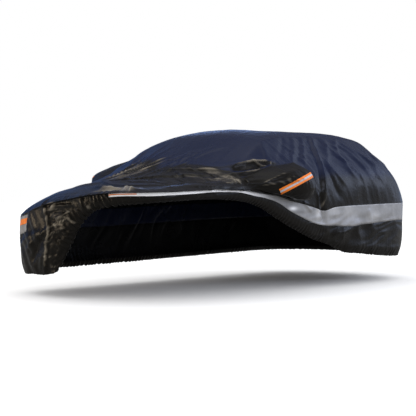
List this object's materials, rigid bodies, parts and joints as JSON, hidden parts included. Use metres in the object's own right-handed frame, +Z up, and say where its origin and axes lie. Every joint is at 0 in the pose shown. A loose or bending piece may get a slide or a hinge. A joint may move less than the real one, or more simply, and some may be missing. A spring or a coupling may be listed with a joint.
{
  "type": "fitted car cover",
  "caption": "Fitted outdoor cover for a five-door hatchback, hanging as over the car, with mirror pockets, a silver reflective band and an elastic hem.",
  "frame": {"origin": "underside of the cloth on the middle line of the roof, 0.3 m behind the middle of the wheelbase, where the car's roof carries the cover", "axes": "+X from the nose to the tail, +Y towards the car's right side, +Z up, as the cover hangs"},
  "size_m": [4.2996, 2.1372, 1.3042],
  "materials": {
    "black_polyester": "glossy coated cloth",
    "silver_reflective_polyester": "satin reflective cloth",
    "orange_reflective_tape": "orange tape with a silver stripe"
  },
  "bodies": {
    "root": {"centre_panel": "black_polyester", "side_panel_left": "black_polyester", "side_panel_right": "black_polyester", "mirror_pocket_left": "black_polyester", "mirror_pocket_right": "black_polyester", "skirt": "black_polyester", "band": "silver_reflective_polyester", "corner_strip_left": "orange_reflective_tape", "corner_strip_right": "orange_reflective_tape", "mirror_strip_left": "orange_reflective_tape", "mirror_strip_right": "orange_reflective_tape"}
  },
  "joints": []
}
